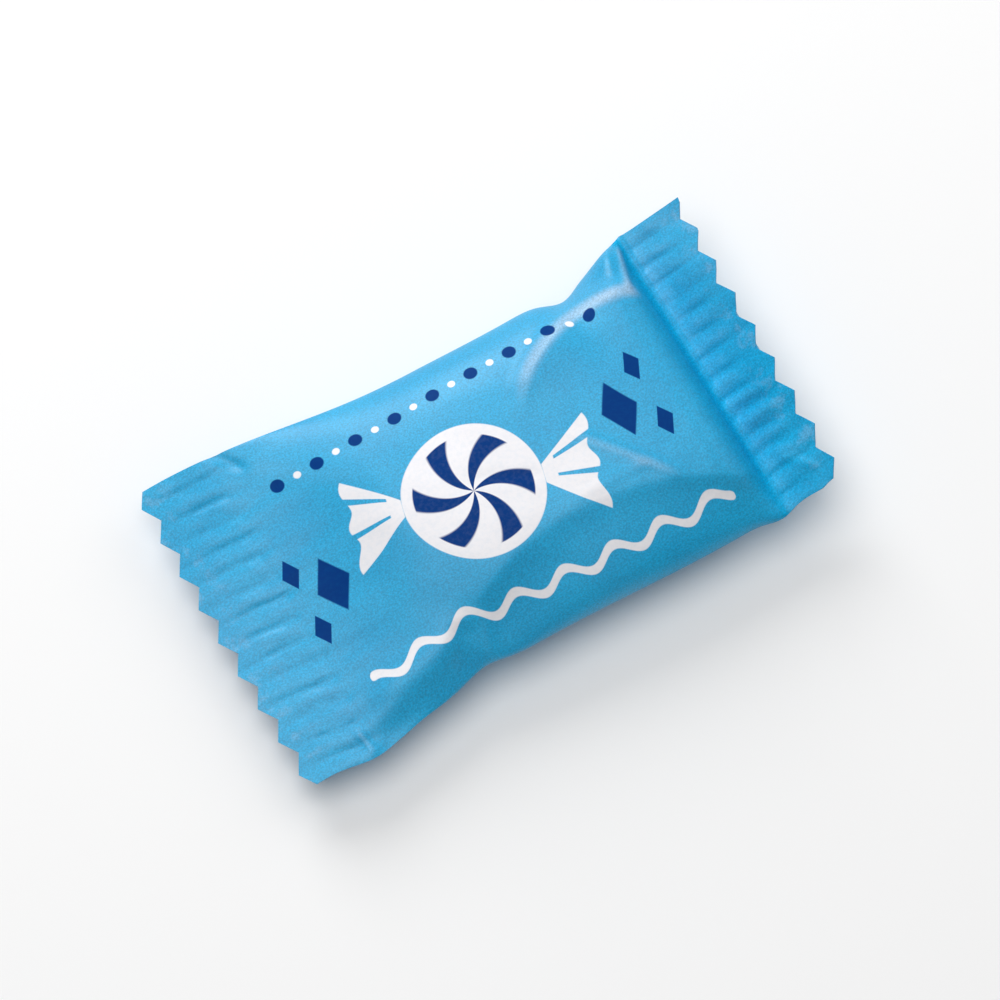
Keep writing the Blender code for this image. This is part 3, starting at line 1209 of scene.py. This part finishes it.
@dataclass
class FilmTube:
    """The whole film tube: pillow body, both crimped fins and their zigzag cut."""

    form: PackForm
    cut: ZigzagCut
    finish: PrintedFilm
    name: str = "film_tube"
    ribs: CrimpRibs = CrimpRibs()
    rim_centre: Pair = (14.9 * MM, -0.9 * MM)
    rim_reach: Pair = (10.9 * MM, 9.5 * MM)
    rim_height: float = 0.62
    near_fall: float = 2.9
    roll_height: float = 0.42
    tip_slack: float = 0.25 * MM
    stretches: tuple[tuple[float, float, int], ...] = (
        (-27.0 * MM, -20.4 * MM, 36),
        (-20.4 * MM, 4.0 * MM, 92),
        (4.0 * MM, 16.9 * MM, 54),
        (16.9 * MM, 21.6 * MM, 34),
        (21.6 * MM, 27.4 * MM, 32),
    )

    def stations(self) -> Array:
        """Film lengths of the rows of points."""
        parts = [np.linspace(a, b, count, endpoint=False) for a, b, count in self.stretches]
        return np.concatenate((*parts, [self.stretches[-1][1]]))

    def wrapped(self, s: float, fractions: Array, profile: Profile, width: float) -> Array:
        """Spread points evenly along the film as it wraps over the profile.

        Args:
            s: Film length of the row.
            fractions: Shares of the film's half width, from 1 down to -1.
            profile: Height over the edge line.
            width: Half width of the tube there.

        Returns:
            Places across the tube, from -1 to 1.
        """
        sigma = np.sin(np.linspace(-0.5, 0.5, 361) * math.pi)
        heights = profile(np.full_like(sigma, s), sigma)
        travelled = np.concatenate(([0.0], np.cumsum(np.hypot(np.diff(sigma * width), np.diff(heights)))))
        return np.interp((fractions + 1.0) / 2.0, travelled / travelled[-1], sigma)

    def creases(self, s: Array, y: Array, sigma: Array) -> tuple[Array, Array]:
        """Folds that the sweet and the crimps press into the upper film.

        Args:
            s: Film lengths.
            y: Places across.
            sigma: The same places, from -1 to 1.

        Returns:
            Height of the folds, and the paleness painted along folds, the far rim and the jaw's edge, from 0
            to 1: partly stress whitening, partly painted highlight.
        """
        rim, rim_sheen = self.far_rim(s, y)
        folds, fold_whitening_and_sheen = folded(FILM_FOLDS, s, y)
        facet = hump(s, 18.8 * MM, 1.5 * MM) * ramp(y, 8.8 * MM, 13.2 * MM)
        left_root = hump(s, -20.2 * MM + 0.2 * MM * np.sin(y * 900.0), 0.3 * MM)
        jaw_edge = hump(s, 21.05 * MM, 0.24 * MM) * (0.7 + 0.3 * ripple(s * 0.0, y, 6.0 * MM, 14))
        heights = rim + folds + facet - self.near_face(s, y) + self.roll_height * self.left_roll(s, y)
        heights = heights - 0.02 * left_root + 0.085 * jaw_edge
        body = ramp(s, -19.0 * MM, -9.0 * MM) * self.form.wall(s) * (1.0 - np.abs(sigma) ** 6)
        heights = heights + 0.08 * body * ripple(s, y, 12.0 * MM, 11)
        heights = heights + 0.022 * body * ripple(s, y, 3.6 * MM, 12)
        pulled = hump(s, -17.5 * MM, 3.4 * MM) * (1.0 - np.abs(sigma) ** 8)
        heights = heights + 0.07 * pulled * ripple(s * 0.18, y, 2.5 * MM, 13)
        # The second value is paleness painted along folds, the rim and the jaw's edge: partly stress
        # whitening, mostly painted highlight.
        return heights * MM, np.clip(rim_sheen + fold_whitening_and_sheen + 0.30 * jaw_edge, 0.0, 1.0)

    def far_rim(self, s: Array, y: Array) -> tuple[Array, Array]:
        """Rim that the round sweet presses into the film on its far side.

        Args:
            s: Film lengths.
            y: Places across.

        Returns:
            Height in millimetres, and a painted highlight band along the rim, from 0 to 1.
        """
        a = (s - self.rim_centre[0]) / self.rim_reach[0]
        b = (y - self.rim_centre[1]) / self.rim_reach[1]
        off = (np.hypot(a, b) - 1.0) * self.rim_reach[1]
        arc = ramp(y, 2.2 * MM, 7.0 * MM) * (1.0 - ramp(s, 18.6 * MM, 20.2 * MM))
        crisp = ramp(s, 8.0 * MM, 15.0 * MM)
        rounding = (0.75 - 0.55 * crisp) * MM
        distance = np.sqrt(off**2 + rounding**2) - rounding
        start = (0.9 * crisp - 0.6) * MM
        rise = np.where(off > 0.0, 1.0 - ramp(off - start, 0.0, 2.3 * MM), np.exp(-distance / (2.4 * MM)))
        # The band paints a highlight along the rim's crest.
        band = np.exp(-(((off - 0.15 * MM) / (0.85 * MM)) ** 2))
        return arc * self.rim_height * rise, arc * band * (0.75 + 0.15 * crisp)

    def near_face(self, s: Array, y: Array) -> Array:
        """How far the film falls below the pillow along the sweet's near side.

        Args:
            s: Film lengths.
            y: Places across.

        Returns:
            The fall in millimetres.
        """
        rim = -6.6 * MM - 0.022 * (s - 4.0 * MM) ** 2 / MM
        rim = np.maximum(rim, -11.0 * MM)
        _, near = self.form.widths(s)
        raw = (rim - y) / (near + rim)
        t = np.clip(0.5 * (raw + np.sqrt(raw**2 + 0.0036)), 0.0, 1.0)
        return self.near_fall * t * (1.0 - t) * ramp(s, -9.5 * MM, -5.0 * MM) * self.form.wall(s)

    def left_roll(self, s: Array, y: Array) -> Array:
        """Rounded roll of the film beside the near edge, left of the sweet.

        Args:
            s: Film lengths.
            y: Places across.

        Returns:
            Its height, from 0 to 1.
        """
        _, near = self.form.widths(s)
        reach = ramp(s, -20.0 * MM, -16.0 * MM) * (1.0 - ramp(s, -11.0 * MM, -7.5 * MM))
        return reach * hump(y + near, 3.4 * MM, 1.5 * MM)

    def sheet(self, side: Side) -> tuple[Array, Array, Array, Array]:
        """Lay out one half of the tube.

        Args:
            side: The upper or the lower film.

        Returns:
            Points, film coordinates in millimetres, share of the ribs, and the paleness painted along the
            creases, partly stress whitening and partly painted highlight.
        """
        left, right = self.cut.columns(self.form)
        rows = self.stations()
        profile = self.form.top if side is Side.UPPER else self.form.belly
        far, near = self.form.widths(rows)
        turn = ramp(rows, self.form.left_root, self.form.right_root)
        fraction = left[None, :] + (right - left)[None, :] * turn[:, None]
        half = ((far + near) / 2)[:, None]
        centre = ((far - near) / 2)[:, None]
        sigma = np.array([self.wrapped(s, fraction[i], profile, half[i, 0]) for i, s in enumerate(rows)])
        s = np.broadcast_to(rows[:, None], sigma.shape)
        y = centre + sigma * half
        place = self.cut.moved(self.form, s, centre + fraction * half, fraction)
        height = profile(s, sigma) + self.form.layers / 2
        # On the upper film, sharp holds the paleness painted along creases, partly stress whitening and
        # partly painted highlight.
        sharp = np.zeros_like(height)
        if side is Side.UPPER:
            folds, sharp = self.creases(s, y, sigma)
            height = height + folds
        else:
            height = height + (self.form.solid_layers - self.form.layers) / 2 * (height > 0.5 * MM)
        height = side.value * height + self.form.waver(s, y)
        film = np.stack((place / MM, fraction * FILM_HALF, np.full_like(place, side.value)), axis=-1)
        return self.form.point(place, y, height), film, self.ribs.share(s, y), sharp

    def build(self) -> bpy.types.Object:
        """Build the tube, press its ribs and dress it.

        Returns:
            The finished piece.
        """
        upper, upper_film, upper_ribs, upper_whitening_and_sheen = self.sheet(Side.UPPER)
        lower, lower_film, lower_ribs, lower_whitening_and_sheen = self.sheet(Side.LOWER)
        points, quads = closed_shell(upper, lower)
        piece = new_piece(self.name, points, quads)
        film = np.concatenate((upper_film.reshape(-1, 3), lower_film.reshape(-1, 3)))
        carry(piece, PLACE, film)
        carry(piece, UP, self.form.up(film[:, 0] * MM))
        carry(piece, RIB_SHARE, np.concatenate((upper_ribs.ravel(), lower_ribs.ravel())))
        carry(piece, CREASE_WHITENING_AND_SHEEN, np.concatenate((upper_whitening_and_sheen.ravel(), lower_whitening_and_sheen.ravel())))
        self.ribs.tree(self.finish.material()).run(piece)
        keep_inside(piece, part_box("wrapper"), self.form.seal_thickness, self.tip_slack)
        dress(piece)
        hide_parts("wrapper")
        return piece


def keep_inside(piece: bpy.types.Object, box: tuple[Vector, Vector], floor: float, slack: float) -> None:
    """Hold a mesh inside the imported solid's box, clear of the floor.

    Args:
        piece: The object.
        box: Lowest and highest corners.
        floor: Least height of any point over the box's base.
        slack: How far the zigzag tips may reach past the box along the pack.
    """
    low, high = np.array(box[0]), np.array(box[1])
    low[2] += floor
    low[0] -= slack
    points = np.empty(len(piece.data.vertices) * 3)
    piece.data.vertices.foreach_get("co", points)
    held = np.clip(points.reshape(-1, 3), low, high)
    piece.data.vertices.foreach_set("co", held.ravel())
    piece.data.update()


@dataclass
class BackSeal:
    """The folded lap of the two film edges, laid flat along the underside."""

    form: PackForm
    finish: PrintedFilm
    name: str = "back_seal"
    half_width: float = 3.5 * MM
    inset: float = 1.15 * MM
    serration_pitch: float = 0.62 * MM
    serration_height: float = 0.035 * MM
    tuck: float = 0.10 * MM
    ribs: CrimpRibs = CrimpRibs()
    columns: int = 40
    rows: int = 420

    def build(self) -> bpy.types.Object:
        """Build the lap, press its serrations and dress it.

        Returns:
            The finished piece.
        """
        s = np.linspace(self.form.left_cut + self.inset, self.form.right_cut - self.inset, self.rows)[:, None]
        y = np.linspace(self.half_width, -self.half_width, self.columns)[None, :]
        far, near = self.form.widths(s)
        sigma = (y - (far - near) / 2) / ((far + near) / 2)
        s = np.broadcast_to(s, sigma.shape)
        y = np.broadcast_to(y, sigma.shape)
        depth = self.form.belly(s, sigma) + self.form.solid_layers / 2
        middle = self.form.waver(s, y) - depth
        top = self.form.point(s, y, middle + self.tuck)
        base = self.form.point(s, y, middle - self.form.seal_thickness + self.serration_height)
        points, quads = closed_shell(top, base)
        piece = new_piece(self.name, points, quads)
        film = np.stack((s / MM, sigma * FILM_HALF, np.full_like(s, -1.0)), axis=-1).reshape(-1, 3)
        carry(piece, PLACE, np.concatenate((film, film)))
        carry(piece, UP, np.concatenate((self.form.up(s).reshape(-1, 3),) * 2))
        carry(piece, RIB_SHARE, np.tile(self.ribs.share(s, y).ravel(), 2))
        carry(piece, BAR_SHARE, np.concatenate((np.zeros(s.size), np.ones(s.size))))
        carry(piece, CREASE_WHITENING_AND_SHEEN, np.zeros(2 * s.size))
        material = self.finish.material()
        self.ribs.tree(material).run(piece)
        self.serration_tree(material).run(piece)
        keep_inside(piece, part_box("wrapper"), 0.0, 0.0)
        dress(piece)
        return piece

    def serration_tree(self, material: bpy.types.Material) -> GeometryBench:
        """Geometry nodes that press the sealing roller's fine bars into the lap.

        Args:
            material: The film's finish.

        Returns:
            The tree, ready to run.
        """
        inputs = {"Bar Pitch": self.serration_pitch / MM, "Bar Height": self.serration_height}
        bench = GeometryBench("seal_serrations", inputs)
        s, q, _ = bench.film()
        crest = ((s / bench.given("Bar Pitch") * math.tau).cosine() + 1.0) * 0.5
        crest = crest * bench.carried(BAR_SHARE) * (1.0 - q.size().above(3.0))
        bench.press(crest * bench.given("Bar Height") * -1.0, crest, material)
        return bench


@dataclass
class Lamp:
    """One soft studio light."""

    name: str
    azimuth: float
    elevation: float
    distance: float
    size: float
    power: float

    def build(self, target: Vector) -> None:
        """Hang the light and aim it.

        Args:
            target: Point that it faces.
        """
        data = bpy.data.lights.new(self.name, "AREA")
        data.shape = "DISK"
        data.size = self.size
        data.energy = self.power
        lamp = bpy.data.objects.new(self.name, data)
        lamp.location = target + self.distance * heading(self.azimuth, self.elevation)
        lamp.rotation_euler = (target - lamp.location).to_track_quat("-Z", "Y").to_euler()
        bpy.context.scene.collection.objects.link(lamp)


def heading(azimuth: float, elevation: float) -> Vector:
    """Direction towards a viewpoint; azimuth 0 stands at -Y and 90 at +X, in degrees."""
    a, e = math.radians(azimuth), math.radians(elevation)
    return Vector((math.sin(a) * math.cos(e), -math.cos(a) * math.cos(e), math.sin(e)))


@dataclass
class Studio:
    """Pale floor, soft light and the camera at the photograph's angle."""

    lamps: tuple[Lamp, ...] = (
        Lamp("key_light", 174.0, 31.0, 0.50, 0.32, 1.58),
        Lamp("top_light", -120.0, 80.0, 0.60, 0.52, 1.86),
        Lamp("side_light", 98.0, 38.0, 0.60, 0.45, 0.50),
    )
    world: float = 0.23
    azimuth: float = -30.6
    elevation: float = 75.0
    distance: float = 0.400
    pixel: float = 0.0863 * MM
    seen_at: Pair = (493.3, 488.3)
    aim_height: float = 5.0 * MM
    frame_pixels: float = 1000.0
    sensor: float = 36.0

    def build(self) -> None:
        """Set up the floor, the light and the camera."""
        bpy.context.scene.view_settings.view_transform = "Standard"
        self.build_floor()
        target = Vector((0.0, 0.0, self.aim_height))
        for lamp in self.lamps:
            lamp.build(target)
        world = bpy.data.worlds.new("studio_air")
        world.use_nodes = True
        air = world.node_tree.nodes["Background"]
        air.inputs["Color"].default_value = (1.0, 1.0, 1.0, 1.0)
        air.inputs["Strength"].default_value = self.world
        bpy.context.scene.world = world
        self.build_camera(target)

    def build_floor(self) -> None:
        """Lay the floor that the pack rests on."""
        data = bpy.data.meshes.new("floor")
        edge = 3.0
        corners = [(-edge, -edge, 0.0), (edge, -edge, 0.0), (edge, edge, 0.0), (-edge, edge, 0.0)]
        data.from_pydata(corners, [], [(0, 1, 2, 3)])
        data.materials.append(PaleFloor().material())
        floor = bpy.data.objects.new("floor", data)
        bpy.context.scene.collection.objects.link(floor)

    def build_camera(self, target: Vector) -> None:
        """Stand the camera where the photograph was taken.

        Args:
            target: Point of the pack that shows at seen_at in the frame.
        """
        data = bpy.data.cameras.new("photo_camera")
        data.type = "PERSP"
        data.sensor_width = self.sensor
        data.lens = self.sensor * self.distance / (self.frame_pixels * self.pixel)
        data.clip_start = 10.0 * MM
        camera = bpy.data.objects.new("photo_camera", data)
        out = heading(self.azimuth, self.elevation)
        turned = math.radians(self.azimuth)
        right = Vector((math.cos(turned), math.sin(turned), 0.0))
        up = out.cross(right)
        aside = (self.frame_pixels / 2 - self.seen_at[0]) * self.pixel
        above = (self.seen_at[1] - self.frame_pixels / 2) * self.pixel
        camera.location = target + out * self.distance + right * aside + up * above
        camera.rotation_euler = out.to_track_quat("Z", "Y").to_euler()
        bpy.context.scene.collection.objects.link(camera)
        bpy.context.scene.camera = camera


def main() -> None:
    """Build every piece and the studio in order."""
    logging.basicConfig(level=logging.INFO, format="%(message)s")
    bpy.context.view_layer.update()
    form = PackForm()
    cut = ZigzagCut()
    FilmTube(form, cut, PrintedFilm()).build()
    BackSeal(form, PrintedFilm(name="plain_satin_film", printed=False)).build()
    Studio().build()


if __name__ == "__main__":
    main()
